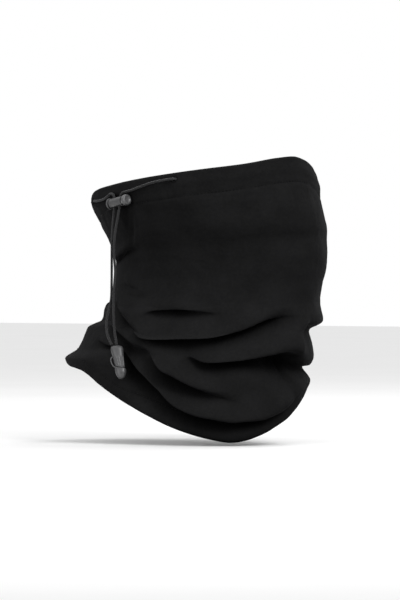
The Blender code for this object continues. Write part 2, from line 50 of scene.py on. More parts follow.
# Points of the wall's own plane are (side, deep, height): side runs from the nape towards the face, deep away from
# the cord lock's side. Millimetres where a name doesn't say metres.
MM = 0.001
LOFT_TURN = math.radians(-56.0)
SIDE = np.array([math.cos(LOFT_TURN), math.sin(LOFT_TURN), 0.0])
DEEP = np.array([-math.sin(LOFT_TURN), math.cos(LOFT_TURN), 0.0])
UP = np.array([0.0, 0.0, 1.0])

# ---- camera and light ----
VIEW_ELEVATION = math.radians(0.5)
VIEW_DISTANCE = 4.0
VIEW_SIDE, VIEW_HEIGHT = -0.00626, 0.1225  # what the camera looks at, metres
VIEW_TALL = 0.522  # height of the picture at the object, metres
SENSOR = 36.0
DOME_LOW, DOME_HIGH = 0.12, 1.0  # the studio's light from below the horizon and from overhead
STAGE_AIM = UP * 0.12  # where the lamps point, metres
FLOOR_HALF, FLOOR_DROP = 6.0, 0.001  # metres; the floor is just under the object

# ---- the wall ----
WALL = 2.4  # thickness of the fleece
DEPTH_RATIO, SKEW = 0.87, -0.237  # shape of the level section
SEAM_ANGLE = -117.0  # angles go round the wall from the cord lock's side, the face at 90
# Where the wall stands at the nape and at the face: (height, side)
NAPE_PROFILE = [(0, -108), (20, -116), (40, -120), (58, -122), (71, -124.5), (80, -113), (87, -109), (94, -106),
                (99, -103.5), (102, -98), (104.5, -92.5), (108, -90.8), (114, -90), (118.5, -88.3), (122, -84.6),
                (134, -81.5), (143, -79.8), (154, -79.4), (162, -81.4), (168, -83.6), (177, -87), (186, -91.5),
                (198, -97), (210, -102), (250, -102)]
FACE_PROFILE = [(0, 80), (20, 86), (40, 90), (58, 89.5), (67, 87.5), (80, 90), (100, 94), (108, 97.5), (118, 97),
                (136, 99.5), (150, 103), (166, 105), (184, 104), (198, 100.5), (212, 97), (225, 95.5), (250, 91.5)]
# The upper and lower edges: (angle, height)
RIM_HEIGHT = [(-120, 206), (-90, 210), (-80, 215), (-68, 219), (-50, 223.5), (-25, 229.5), (0, 235), (20, 239),
              (42, 244.5), (55, 246), (66, 243), (78, 237), (90, 230), (115, 222), (150, 215), (180, 211), (210, 207)]
HEM_HEIGHT = [(-115, 68), (-90, 69), (-75, 65), (-61, 62), (-47, 50), (-32, 35.5), (-18, 22), (-4, 11), (10, 4),
              (21, 1.5), (36, 6), (52, 17.5), (69, 36), (82, 48), (95, 56), (125, 60), (150, 58), (180, 56),
              (210, 60)]
# Folds: (angle, height of the crease, how far out above it, how far in below it, reach); the cloth above a crease
# rolls down over it
FOLDS = [
    [(-42, 117, 0, 0, 7), (-36, 117, 3, 4, 7), (-29, 117.5, 6, 9, 7), (-18, 117, 7, 10, 7), (-4, 115.5, 4, 6, 7),
     (10, 115, 0, 0, 7)],
    [(-92, 130, 0, 0, 8), (-74, 125.5, 3, 5, 7), (-62, 119, 5, 10, 7), (-46, 109, 7, 12, 8), (-36, 102.5, 10, 12, 8),
     (-25, 97, 12, 12, 9), (-14, 94, 13, 12, 9), (3, 94.2, 12, 11, 9), (16, 99, 10, 10, 9), (27, 105, 7, 8, 9),
     (40, 110, 3, 4, 9), (56, 114, 0, 0, 9)],
    [(-80, 108, 0, 0, 7), (-60, 103, 3, 5, 7), (-47, 96, 8, 14, 8), (-34, 87.5, 11, 20, 9), (-23, 80.5, 12, 22, 9),
     (-8, 64.5, 11, 18, 8), (4, 50.5, 8, 10, 7.5), (12, 45, 6, 6, 8), (20, 41, 3, 3, 8), (30, 37, 0, 0, 8)],
    [(-62, 90, 0, 0, 7), (-50, 83, 4, 8, 7), (-44, 79, 6, 12, 7.5), (-35, 72, 9, 16, 8), (-23, 58.8, 13, 21, 9),
     (-14.5, 48.5, 14, 18, 9), (-4.5, 35.7, 14, 14, 9), (10, 25.3, 12, 11, 9), (22.5, 21.5, 10, 8, 8),
     (35, 21.5, 7, 5, 8), (45, 25, 4, 3, 8), (58, 36, 2.5, 2, 8), (72, 49, 2, 2, 8), (88, 60, 0, 0, 8)],
    [(-8, 78, 0, 0, 8), (0, 75.5, 4, 5, 8), (9.5, 70.5, 7, 9, 8), (21.5, 72.5, 8, 10, 8), (35, 76, 9, 15, 10),
     (51, 79.5, 10, 22, 13), (58, 77, 9, 22, 13), (64, 72.5, 5, 15, 10), (73, 68, 3, 10, 9), (85, 67, 3, 8, 8),
     (100, 68, 2.5, 6, 9), (124, 72, 0, 0, 9)],
    [(46, 104, 0, 0, 8), (58, 102.5, 2, 2.5, 8), (72, 101, 3, 4, 9), (90, 100, 3, 4, 9), (112, 100, 2.5, 3, 9),
     (135, 101, 0, 0, 9)],
    [(105, 106, 0, 0, 10), (130, 109, 6, 5, 11), (160, 111, 8, 6, 12), (190, 106, 7, 5, 11), (215, 100, 4, 3, 10),
     (235, 98, 0, 0, 10)],
    [(95, 84, 0, 0, 9), (120, 80, 5, 4, 10), (150, 82, 7, 6, 11), (180, 84, 6, 5, 10), (210, 84, 3, 3, 9),
     (232, 88, 0, 0, 9)],
    [(-86, 156, 0, 0, 4), (-76, 158.5, 2, 3.6, 3), (-64, 163.5, 2, 3.6, 3), (-54, 167.5, 1.4, 2, 4),
     (-42, 171, 0.8, 0.8, 9), (-20, 174, 0.7, 0.7, 12), (10, 178, 1.2, 1.2, 14), (40, 182, 1.7, 1.7, 15),
     (70, 183, 1.7, 1.7, 16), (104, 182, 0, 0, 18)],
    [(-66, 138, 0, 0, 4), (-58, 137, 1.8, 2, 4.5), (-51, 135.5, 1.2, 1.5, 4.5), (-46, 134, 0, 0, 4)],
    [(-62, 132, 0, 0, 4), (-54, 130, 1.8, 2, 4.5), (-46, 128, 1.4, 1.6, 4.5), (-38, 127, 0, 0, 4)],
]
FOLD_TIGHT = 0.65  # reach below a crease, over that above it
FOLD_TALL = 0.4  # ... and what a deep tuck adds to it
FOLD_DROP = 0.9  # how far a roll drops over its crease, over its depth
# Upright pleats under the lock: (side, half width, middle height, half height, depth)
PLEATS = [(-69.0, 1.5, 192, 11, 1.2), (-64.6, 2.0, 184, 14, 1.9), (-59.4, 1.8, 186, 12, 0.7)]
# Small shapes of the cloth: (height, half width)
CORD_RIDGE, CHANNEL_GROOVE, HEM_GROOVE = (0.9, 5.0), (0.55, 1.6), (0.3, 1.5)
SEAM_RIDGE, SEAM_GROOVE, SEAM_RIDGE_AT = (0.55, 1.8), (0.7, 1.8), 3.2
SEAM_DEGREE = 1.75  # length of a degree round the wall at the seam
FLARE, FLARE_ANGLE, FLARE_HALF = (8.0, 17.0), 6.0, 46.0  # the front of the hem, which stands out
GATHER, GATHER_ANGLE, GATHER_HALF, GATHER_REACH = 0.34, -46.0, 34.0, 12.0
GATHER_START = 2.0  # the gathers begin this far inside the channel's edge
PLEAT_ANGLE, PLEAT_HALF = -50.0, 40.0
WAVE = 0.55  # height of the slow waves
NAP = 0.16  # unevenness of the brushed face
NAP_CELLS = ((1.0, 3.4), (1.6, 9.0), (3.0, 26.0))  # (share of NAP, size)
COLUMNS, OUTER_ROWS, INNER_ROWS, LIP_ROWS = 336, 216, 62, 6
LIP, HEM_LIP = 2.05, 2.3  # half the folded thickness of the rim and of the hem
INNER_EDGE = 5.0  # the inner face begins this far from the rows next to each edge
INNER_NEAR = 4.0  # the inner face stays behind the outer one this far above and below it
NO_FOLD = 99.0  # stands for the outer face where there is none that near
INNER_PASSES = 3  # times that the inner face is smoothed
CHANNEL, HEM_DEPTH = 22.0, 12.0  # heights of the two turned bands
STITCH_IN = 1.2  # a stitch line is this far inside its band's edge
STITCH_PITCH, STITCH_RADIUS = 3.1, 0.26
CORD_DROP, CORD_INSET = 10.0, 4.7  # the channel's cord: below the rim, inside the outer face
LABEL_TOP, LABEL_TALL, LABEL_HALF, LABEL_THICK = 134.0, 30.0, 6.0, 0.45  # LABEL_HALF is in degrees

# ---- cord and fittings ----
CORD = 2.1
CORD_ENDS_AT = {"back": (-74.0, 208.3), "front": (-14.5, 226.4)}  # eyelets: angle, height
# The two strands' routes, as in the CAD: (side, deep, height) in metres
BACK_ROUTE = [(-0.0925, 0.0001, 0.2086), (-0.0974, -0.0015, 0.2086), (-0.0984, -0.0065, 0.2085),
              (-0.0962, -0.0140, 0.2084), (-0.0920, -0.0226, 0.2090), (-0.0886, -0.0296, 0.2103),
              (-0.0856, -0.0348, 0.2125), (-0.0837, -0.0376, 0.2142), (-0.0814, -0.0405, 0.2139),
              (-0.0801, -0.0422, 0.2117), (-0.0798, -0.0436, 0.2076), (-0.0800, -0.0448, 0.2026),
              (-0.0807, -0.0463, 0.1940), (-0.0816, -0.0485, 0.1820), (-0.0820, -0.0508, 0.1720),
              (-0.0821, -0.0496, 0.1600), (-0.0821, -0.0509, 0.1480), (-0.0822, -0.0520, 0.1360),
              (-0.0826, -0.0530, 0.1240), (-0.0848, -0.0542, 0.1140), (-0.0863, -0.0558, 0.1060),
              (-0.0863, -0.0580, 0.0970), (-0.0844, -0.0602, 0.0900), (-0.0819, -0.0618, 0.0845)]
FRONT_ROUTE = [(-0.0243, -0.0738, 0.2264), (-0.0263, -0.0782, 0.2265), (-0.0305, -0.0804, 0.2263),
               (-0.0380, -0.0778, 0.2253), (-0.0480, -0.0715, 0.2232), (-0.0580, -0.0640, 0.2198),
               (-0.0650, -0.0582, 0.2172), (-0.0698, -0.0537, 0.2160), (-0.0731, -0.0506, 0.2147),
               (-0.0748, -0.0486, 0.2109), (-0.0751, -0.0500, 0.2045), (-0.0771, -0.0508, 0.1930),
               (-0.0790, -0.0516, 0.1820), (-0.0800, -0.0531, 0.1720), (-0.0802, -0.0530, 0.1630),
               (-0.0795, -0.0539, 0.1540), (-0.0791, -0.0546, 0.1470), (-0.0796, -0.0551, 0.1390),
               (-0.0803, -0.0557, 0.1300), (-0.0804, -0.0563, 0.1200), (-0.0802, -0.0572, 0.1060),
               (-0.0793, -0.0590, 0.0950), (-0.0784, -0.0605, 0.0895), (-0.0777, -0.0618, 0.0845)]
BRAID_LOBES, BRAID_PITCH, BRAID_RELIEF = 8, 1.25, 0.11

LOCK_CENTRE = (-77.6, -46.4, 207.0)
LOCK_CENTRE_AT = 9.5  # that centre's place along the barrel
LOCK_TURN, LOCK_TILT = math.radians(48.0), math.radians(9.5)
STRAND_LEAN = (0.13, 0.12)  # side and deep, over height, of the strands in the slot
SLOT, SLOT_WIDTH = (3.3, 15.7), 3.2  # start and stop along the barrel
BUTTON_TRAVEL = 1.8

END_HINGE = (-80.0, -61.8, 84.3)
END_LEAN, END_OUT = math.radians(7.0), math.radians(24.0)  # how far its foot leans to the face and off the fleece
END_AXIS_X = 1.4  # the cord end's middle, from its hinge point
END_ASIDE = 0.8  # how far the shell stands to the side of the strands' middle
END_LEANS = 1.05  # how far the shell's lower end and the cap stand to the side of its top
STRAND_X = (-1.9, 2.3)  # where the two strands go in
END_COLUMNS = 144
FLUTES, FLUTE_DEPTH = 18, 0.34
SHELL_TOP, SHELL_FOOT, SHELL_ROWS = -1.8, -21.4, 74
CAP_TOP, CAP_FOOT, CAP_ROWS = -22.1, -31.2, 40


# ---- mathematics ----

def curve_through(points, x, period=None):
    """Values at x on smooth curves through the points, which never overshoot them; one column per value."""
    rows = np.array(sorted(points), float)
    knots, values = rows[:, 0], rows[:, 1:]
    if period:
        knots = np.concatenate([knots - period, knots, knots + period])
        values = np.concatenate([values, values, values])
    gap = np.diff(knots)[:, None]
    slope = np.diff(values, axis=0) / gap
    tangent = np.zeros_like(values)
    same_way = slope[:-1] * slope[1:] > 0
    product = np.where(same_way, slope[:-1] * slope[1:], 1.0)
    a, b = 2 * gap[1:] + gap[:-1], gap[1:] + 2 * gap[:-1]
    mean = (a + b) * product / (a * slope[1:] + b * slope[:-1] + ~same_way)
    tangent[1:-1] = np.where(same_way, mean, 0.0)
    tangent[0], tangent[-1] = slope[0], slope[-1]
    x = np.clip(np.asarray(x, float), knots[0], knots[-1])
    i = np.clip(np.searchsorted(knots, x, side="right") - 1, 0, len(knots) - 2)
    h = gap[i]
    t = ((x - knots[i]) / gap[i, 0])[..., None]
    return ((2 * t**3 - 3 * t**2 + 1) * values[i] + (t**3 - 2 * t**2 + t) * h * tangent[i]
            + (3 * t**2 - 2 * t**3) * values[i + 1] + (t**3 - t**2) * h * tangent[i + 1])


def wrapped(angle, start=-180.0):
    return (np.asarray(angle, float) - start) % 360.0 + start


def full_turn(steps):
    return np.arange(steps) * 2 * np.pi / steps


def bell(distance, width):
    return np.exp(-(distance / width) ** 2)


def ridge(distance, shape):
    return shape[0] * bell(distance, shape[1])


def rim(angle):
    return curve_through(RIM_HEIGHT, wrapped(angle), 360.0)[..., 0]


def hem(angle):
    return curve_through(HEM_HEIGHT, wrapped(angle), 360.0)[..., 0]


def section(angle, height):
    """Unfolded wall, as (side, deep, height)."""
    nape = curve_through(NAPE_PROFILE, height)[..., 0]
    face = curve_through(FACE_PROFILE, height)[..., 0]
    middle, half = (nape + face) / 2, (face - nape) / 2
    turn = np.radians(angle)
    return np.stack([middle + half * np.sin(turn),
                     -DEPTH_RATIO * half * np.cos(turn) + SKEW * half * np.sin(turn),
                     height + 0.0 * turn], -1)


def outward(angle, height):
    """Level direction straight out of the wall, from points a half degree to each side."""
    along = section(angle + 0.5, height) - section(angle - 0.5, height)
    out = np.stack([along[..., 1], -along[..., 0], 0.0 * along[..., 0]], -1)
    return out / np.linalg.norm(out, axis=-1, keepdims=True)


def folds(angle, height):
    """How far the folds push the cloth out and down."""
    out, down = np.zeros_like(height), np.zeros_like(height)
    for fold in FOLDS:
        place = wrapped(angle, fold[0][0] - 1.0)
        inside = (place > fold[0][0]) & (place < fold[-1][0])
        crease, above, below, reach = np.moveaxis(curve_through(fold, place), -1, 0)
        p = (height - crease) / reach
        p = np.where(p < 0, p / (FOLD_TIGHT + FOLD_TALL * np.clip(below / 10 - 1, 0, 1)), p)
        roll = np.where(inside, p * np.exp((1 - p * p) / 2), 0.0)
        out += roll * np.where(p < 0, below, above)
        down -= FOLD_DROP * roll * above
    return out, down


def relief(angle, height):
    """Small shapes of the cloth: channel, stitch lines, seam, gathers, pleats and slow waves."""
    turn = np.radians(angle)
    below, above = rim(angle) - height, height - hem(angle)
    out = ridge(below - CORD_DROP, CORD_RIDGE)
    out -= ridge(below - CHANNEL + STITCH_IN, CHANNEL_GROOVE) + ridge(above - HEM_DEPTH + STITCH_IN, HEM_GROOVE)
    away = np.abs(wrapped(angle - SEAM_ANGLE)) * SEAM_DEGREE
    out += ridge(away - SEAM_RIDGE_AT, SEAM_RIDGE) - ridge(away, SEAM_GROOVE)
    out += ridge(above, FLARE) * bell(wrapped(angle - FLARE_ANGLE), FLARE_HALF)
    near_lock = 0.3 + 0.7 * bell(wrapped(angle - GATHER_ANGLE), GATHER_HALF)
    gathers = np.sin(34 * turn + 0.8) + 0.6 * np.sin(55 * turn + 2.1) + 0.5 * np.sin(21 * turn + 4.0)
    fading = bell(below - CHANNEL - GATHER_START, GATHER_REACH)
    out += GATHER * near_lock * gathers * np.where(below > CHANNEL - GATHER_START, fading, 0.25)
    flat, near_side = section(angle, height), bell(wrapped(angle - PLEAT_ANGLE), PLEAT_HALF)
    for pleat, half_width, middle, half_height, depth in PLEATS:
        out -= depth * near_side * bell(flat[..., 0] - pleat, half_width) * bell(height - middle, half_height)
    slow = (np.sin(5 * turn + height / 31 + 1.0) * np.sin(height / 23 + 2 * turn)
            + 0.6 * np.sin(11 * turn - height / 19 + 2.0) * np.sin(height / 17 + 0.5))
    return out + WAVE * slow


def wall_point(angle, height, inset=0.0):
    """Points inset millimetres inside the wall's outer face; height is that of the unfolded wall."""
    angle, height = np.broadcast_arrays(np.asarray(angle, float), np.asarray(height, float))
    out, down = folds(angle, height)
    out = out + relief(angle, height) - inset
    return section(angle, height) + outward(angle, height) * out[..., None] + down[..., None] * UP


def world(points):
    points = np.asarray(points, float)
    return (points[..., 0:1] * SIDE + points[..., 1:2] * DEEP + points[..., 2:3] * UP) * MM


def direction(side, deep, height):
    return Vector(SIDE * side + DEEP * deep + UP * height).normalized()


# ---- mesh helpers ----

def grid_mesh(name, points, loop_rows=False, caps=False):
    """A mesh over rows of points, each row a loop, made to face outwards."""
    points = np.asarray(points, float)
    rows, columns = points.shape[:2]
    r, c = np.meshgrid(np.arange(rows if loop_rows else rows - 1), np.arange(columns), indexing="ij")
    r1, c1 = (r + 1) % rows, (c + 1) % columns
    quads = np.stack([r * columns + c, r1 * columns + c, r1 * columns + c1, r * columns + c1], -1).reshape(-1, 4)
    flat = points.reshape(-1, 3)
    faces = quads.tolist()
    if caps:
        faces.append(list(range(columns)))
        faces.append([(rows - 1) * columns + k for k in reversed(range(columns))])
    a, b, c, d = (flat[quads[:, k]] for k in range(4))
    volume = np.einsum("ij,ij->i", a, np.cross(b, c)).sum() + np.einsum("ij,ij->i", a, np.cross(c, d)).sum()
    if volume < 0:
        faces = [face[::-1] for face in faces]
    mesh = bpy.data.meshes.new(name)
    mesh.from_pydata(flat.tolist(), [], faces)
    mesh.shade_smooth()
    return mesh


def add(name, mesh, finish, matrix=None):
    item = bpy.data.objects.new(name, mesh)
    bpy.context.scene.collection.objects.link(item)
    mesh.materials.clear()
    mesh.materials.append(finish)
    if matrix is not None:
        item.matrix_world = matrix
    return item


def stand_for(piece, body_name, node_name):
    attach(piece, body_name)
    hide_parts(node_name)


def uv_grid(mesh, columns, across, along):
    """UVs for a tube: u once round per repeat across, v in repeats along."""
    layer = mesh.uv_layers.new(name="uv")
    corners = np.zeros(len(mesh.loops), int)
    mesh.loops.foreach_get("vertex_index", corners)
    row, column = corners // columns, corners % columns
    starts = np.repeat(np.array([p.loop_start for p in mesh.polygons]), [p.loop_total for p in mesh.polygons])
    first = column[starts]
    column = np.where((first == columns - 1) & (column == 0), columns, column)
    column = np.where((first == 0) & (column == columns - 1), 0, column)
    coordinates = np.stack([column * across, row * along], -1)
    layer.data.foreach_set("uv", coordinates.astype(np.float32).ravel())


def smooth_path(route, step):
    """Points a step apart on a smooth curve through the route's own points, in the route's unit."""
    knots = np.array(route, float)
    knots = np.vstack([2 * knots[0] - knots[1], knots, 2 * knots[-1] - knots[-2]])
    t = (np.arange(24) / 24)[:, None]
    fine = [0.5 * (2 * p1 + (p2 - p0) * t + (2 * p0 - 5 * p1 + 4 * p2 - p3) * t**2
                   + (3 * p1 - p0 - 3 * p2 + p3) * t**3)
            for p0, p1, p2, p3 in zip(knots, knots[1:], knots[2:], knots[3:])]
    fine = np.vstack(fine + [knots[-2:-1]])
    lengths = np.concatenate([[0.0], np.cumsum(np.linalg.norm(np.diff(fine, axis=0), axis=1))])
    goals = np.linspace(0.0, lengths[-1], round(lengths[-1] / step) + 1)
    return np.stack([np.interp(goals, lengths, fine[:, k]) for k in range(3)], -1)


def path_frames(path):
    """Two directions across a path at each point, carried along it without twist."""
    ahead = np.gradient(path, axis=0)
    ahead /= np.linalg.norm(ahead, axis=1, keepdims=True)
    first = np.cross(ahead[0], UP if abs(ahead[0][2]) < 0.9 else SIDE)
    across = [first / np.linalg.norm(first)]
    for direction_ahead in ahead[1:]:
        carried = across[-1] - direction_ahead * np.dot(across[-1], direction_ahead)
        across.append(carried / np.linalg.norm(carried))
    across = np.array(across)
    return across, np.cross(ahead, across)


def tube_points(path, radius, sides):
    """Rows of points round a path; radius is a number or an array of rows by sides."""
    x, y = path_frames(path)
    turn = full_turn(sides)
    radius = np.broadcast_to(np.asarray(radius, float), (len(path), sides))
    return (path[:, None] + radius[..., None] * (np.cos(turn)[None, :, None] * x[:, None]
                                                 + np.sin(turn)[None, :, None] * y[:, None]))


def braided(name, path, finish, radius=CORD / 2 * MM, matrix=None):
    """A braided cord along path, its points about a quarter of a braid cell apart."""
    sides = BRAID_LOBES * 4
    turn = full_turn(sides)
    lengths = np.concatenate([[0.0], np.cumsum(np.linalg.norm(np.diff(path, axis=0), axis=1))])
    climb = lengths[:, None] / (BRAID_PITCH * MM) * np.pi
    left = np.abs(np.cos(BRAID_LOBES / 2 * turn + climb))
    right = np.abs(np.cos(BRAID_LOBES / 2 * turn - climb))
    shape = radius * (1 - BRAID_RELIEF + BRAID_RELIEF * left * right * 1.6)
    ends = np.minimum(lengths, lengths[-1] - lengths)[:, None] / radius
    shape = shape * np.sqrt(np.clip(0.25 + ends * 2, 0.0, 1.0))
    mesh = grid_mesh(name, tube_points(path, shape, sides), caps=True)
    uv_grid(mesh, sides, 1 / sides, (lengths[1] - lengths[0]) / (BRAID_PITCH * MM))
    return add(name, mesh, finish, matrix)


def turned(name, profile, finish, matrix, steps=96):
    """A turned piece; the profile is (radius, place along Z) in millimetres and closes on itself."""
    profile = np.array(profile, float)
    turn = full_turn(steps)
    ring = np.stack([profile[:, 0:1] * np.cos(turn), profile[:, 0:1] * np.sin(turn),
                     profile[:, 1:2] + 0 * turn], -1) * MM
    mesh = grid_mesh(name, ring, loop_rows=True)
    return add(name, mesh, finish, matrix)


def rounded(corners, radius=0.35, steps=4):
    """A closed profile with its corners rounded."""
    points = []
    corners = [np.array(c, float) for c in corners]
    for before, corner, after in zip(corners[-1:] + corners[:-1], corners, corners[1:] + corners[:1]):
        a, b = before - corner, after - corner
        la, lb = np.linalg.norm(a), np.linalg.norm(b)
        cut = min(radius, 0.45 * la, 0.45 * lb)
        start, stop = corner + a / la * cut, corner + b / lb * cut
        for t in np.linspace(0, 1, steps + 1):
            points.append((1 - t) ** 2 * start + 2 * t * (1 - t) * corner + t * t * stop)
    return points


def cut_with(item, cutter):
    """Takes the cutter's shape out of the item and removes the cutter."""
    boolean = item.modifiers.new("cut", "BOOLEAN")
    boolean.operation = "DIFFERENCE"
    boolean.solver = "EXACT"
    boolean.object = cutter
    bpy.context.view_layer.update()
    evaluated = item.evaluated_get(bpy.context.evaluated_depsgraph_get())
    mesh = bpy.data.meshes.new_from_object(evaluated)
    item.modifiers.clear()
    item.data = mesh
    bpy.data.objects.remove(cutter, do_unlink=True)
    mesh.shade_smooth()
    mesh.set_sharp_from_angle(angle=math.radians(38))


# ---- materials ----

PAINTED_SHADE_REACH = 0.022  # how near the cloth's other side comes before painted shade darkens a crease's colour, metres


def surface(name, **values):
    finish = bpy.data.materials.new(name)
    finish.use_nodes = True
    tree = finish.node_tree
    shader = tree.nodes["Principled BSDF"]
    for key, value in values.items():
        shader.inputs[key.replace("_", " ")].default_value = value
    return finish, tree, shader


def node(tree, kind, inputs=None, **settings):
    made = tree.nodes.new(kind)
    for key, value in settings.items():
        setattr(made, key, value)
    for key, value in (inputs or {}).items():
        if isinstance(value, bpy.types.NodeSocket):
            tree.links.new(value, made.inputs[key])
        else:
            made.inputs[key].default_value = value
    return made


def place(tree, scale=(1, 1, 1), uv=False):
    source = node(tree, "ShaderNodeTexCoord").outputs["UV" if uv else "Object"]
    return node(tree, "ShaderNodeMapping", {"Vector": source, "Scale": scale}).outputs["Vector"]


def grain(tree, vector, scale, detail=3.0, roughness=0.6):
    return node(tree, "ShaderNodeTexNoise", {"Vector": vector, "Scale": scale, "Detail": detail,
                                             "Roughness": roughness}).outputs["Fac"]


def ramp(tree, value, low, high, start=0.3, stop=0.7):
    made = node(tree, "ShaderNodeValToRGB", {"Fac": value})
    made.color_ramp.elements[0].position, made.color_ramp.elements[1].position = start, stop
    made.color_ramp.elements[0].color, made.color_ramp.elements[1].color = (*low, 1), (*high, 1)
    return made.outputs["Color"]


def level(tree, value, low, high):
    return node(tree, "ShaderNodeMapRange", {"Value": value, "From Min": 0.25, "From Max": 0.75, "To Min": low,
                                             "To Max": high}).outputs["Result"]


def bump(tree, height, strength, distance, under=None):
    inputs = {"Height": height, "Strength": strength, "Distance": distance}
    if under is not None:
        inputs["Normal"] = under
    return node(tree, "ShaderNodeBump", inputs).outputs["Normal"]


def mean_of(tree, one, other):
    both = node(tree, "ShaderNodeMath", {0: one, 1: other}, operation="ADD").outputs["Value"]
    return node(tree, "ShaderNodeMath", {0: both, 1: 0.5}, operation="MULTIPLY").outputs["Value"]


def connect(tree, shader, colour, roughness, normal=None):
    tree.links.new(colour, shader.inputs["Base Color"])
    tree.links.new(roughness, shader.inputs["Roughness"])
    if normal is not None:
        tree.links.new(normal, shader.inputs["Normal"])


def fleece_finish(name, low, high, sheen):
    finish, tree, shader = surface(name, Sheen_Weight=sheen, Sheen_Roughness=0.55, Sheen_Tint=(0.8, 0.8, 0.85, 1),
                                   Specular_IOR_Level=0.04)
    where = place(tree)
    tufts = grain(tree, where, 330.0, 4.0, 0.65)
    fibres = grain(tree, place(tree, (1.0, 1.0, 0.45)), 2100.0, 3.0, 0.7)
    patches = grain(tree, where, 38.0, 2.0, 0.5)
    nap = ramp(tree, mean_of(tree, tufts, patches), low, high, 0.36, 0.64)
    # Painted shade: ambient occlusion darkens the fleece's own colour in its creases and under its rolls, to as
    # little as 0.06 of it
    crease = node(tree, "ShaderNodeAmbientOcclusion", {"Distance": PAINTED_SHADE_REACH}, samples=8).outputs["AO"]
    painted_crease_shade = node(tree, "ShaderNodeMapRange", {"Value": crease, "From Min": 0.32, "From Max": 0.86,
                                                "To Min": 0.06}).outputs["Result"]
    tone = node(tree, "ShaderNodeVectorMath", {0: nap, 1: painted_crease_shade}, operation="MULTIPLY").outputs["Vector"]
    soft = bump(tree, tufts, 0.55, 0.0009)
    connect(tree, shader, tone, level(tree, tufts, 0.88, 1.0), bump(tree, fibres, 0.6, 0.0003, soft))
    return finish


def cord_finish():
    finish, tree, shader = surface("cord_braid", Sheen_Weight=0.25, Sheen_Roughness=0.4,
                                   Sheen_Tint=(0.9, 0.9, 0.92, 1), Specular_IOR_Level=0.3)
    yarns = node(tree, "ShaderNodeTexWave", {"Vector": place(tree, (14.0, 0.9, 1.0), uv=True), "Scale": 1.0,
                                             "Distortion": 1.4, "Detail": 2.0},
                 bands_direction="DIAGONAL").outputs["Fac"]
    fine = grain(tree, place(tree), 2600.0, 3.0, 0.7)
    tone = ramp(tree, mean_of(tree, yarns, fine), (0.010, 0.010, 0.0105), (0.024, 0.024, 0.025))
    lines = bump(tree, yarns, 0.5, 0.00012)
    connect(tree, shader, tone, level(tree, fine, 0.6, 0.8), bump(tree, fine, 0.4, 0.0001, lines))
    return finish


def thread_finish():
    finish, tree, shader = surface("sewing_thread", Specular_IOR_Level=0.08)
    fine = grain(tree, place(tree), 5200.0, 2.0, 0.6)
    tone = ramp(tree, fine, (0.0025, 0.0025, 0.0027), (0.006, 0.006, 0.0063))
    connect(tree, shader, tone, level(tree, fine, 0.45, 0.65), bump(tree, fine, 0.5, 0.00008))
    return finish


def plastic_finish(name, low, high, gloss):
    """Satin moulded plastic: spark-eroded grain, rubbed paler along its edges, with faint scuffs."""
    finish, tree, shader = surface(name, Specular_IOR_Level=0.5)
    where = place(tree)
    mottle = grain(tree, where, 420.0, 3.0, 0.6)
    pits = grain(tree, where, 6500.0, 2.0, 0.6)
    scuffs = grain(tree, place(tree, (1.0, 1.0, 9.0)), 700.0, 2.0, 0.6)
    worn = node(tree, "ShaderNodeMapRange", {"Value": node(tree, "ShaderNodeNewGeometry").outputs["Pointiness"],
                                             "From Min": 0.52, "From Max": 0.62}).outputs["Result"]
    rubbed = node(tree, "ShaderNodeMath", {0: worn, 1: scuffs}, operation="MULTIPLY").outputs["Value"]
    body = ramp(tree, mottle, low, high)
    edge = node(tree, "ShaderNodeMix", {0: rubbed, 6: body, 7: (*[1.7 * c for c in high], 1.0)}, data_type="RGBA")
    connect(tree, shader, edge.outputs[2], level(tree, scuffs, gloss, gloss + 0.1), bump(tree, pits, 0.35, 0.00003))
    return finish


def steel_finish():
    finish, tree, shader = surface("spring_wire", Metallic=1.0)
    drawn = grain(tree, place(tree, (1.0, 1.0, 6.0)), 2400.0, 2.0, 0.5)
    tone = ramp(tree, drawn, (0.42, 0.42, 0.43), (0.6, 0.6, 0.61))
    connect(tree, shader, tone, level(tree, drawn, 0.22, 0.38), bump(tree, drawn, 0.3, 0.00002))
    return finish


def ribbon_finish():
    finish, tree, shader = surface("label_weave", Sheen_Weight=0.2, Sheen_Roughness=0.4, Specular_IOR_Level=0.3)
    where = place(tree)
    weft = node(tree, "ShaderNodeTexWave", {"Vector": where, "Scale": 420.0, "Distortion": 0.4},
                bands_direction="Z").outputs["Fac"]
    warp = node(tree, "ShaderNodeTexWave", {"Vector": where, "Scale": 260.0, "Distortion": 0.4},
                bands_direction="DIAGONAL").outputs["Fac"]
    weave = node(tree, "ShaderNodeMath", {0: weft, 1: warp}, operation="MULTIPLY").outputs["Value"]
    tone = ramp(tree, weave, (0.013, 0.013, 0.014), (0.034, 0.034, 0.036), 0.1, 0.9)
    connect(tree, shader, tone, level(tree, weave, 0.5, 0.7), bump(tree, weave, 0.5, 0.0001))
    return finish


def floor_finish():
    finish, tree, shader = surface("pale_floor", Specular_IOR_Level=0.1)
    where = place(tree)
    tone = ramp(tree, grain(tree, where, 6.0), (0.93, 0.93, 0.93), (0.95, 0.95, 0.95))
    connect(tree, shader, tone, level(tree, grain(tree, where, 90.0), 0.85, 0.95))
    return finish


# ---- camera and stage ----

def make_camera():
    """The camera; returns the direction from the object to it."""
    back = np.array([math.sin(LOFT_TURN) * math.cos(VIEW_ELEVATION),
                     -math.cos(LOFT_TURN) * math.cos(VIEW_ELEVATION), math.sin(VIEW_ELEVATION)])
    target = SIDE * VIEW_SIDE + UP * VIEW_HEIGHT
    data = bpy.data.cameras.new("camera")
    camera = bpy.data.objects.new("camera", data)
    bpy.context.scene.collection.objects.link(camera)
    camera.location = target + back * VIEW_DISTANCE
    camera.rotation_euler = Vector(back).to_track_quat("Z", "Y").to_euler()
    data.sensor_width = SENSOR
    data.lens = SENSOR * VIEW_DISTANCE / VIEW_TALL
    bpy.context.scene.camera = camera
    return back


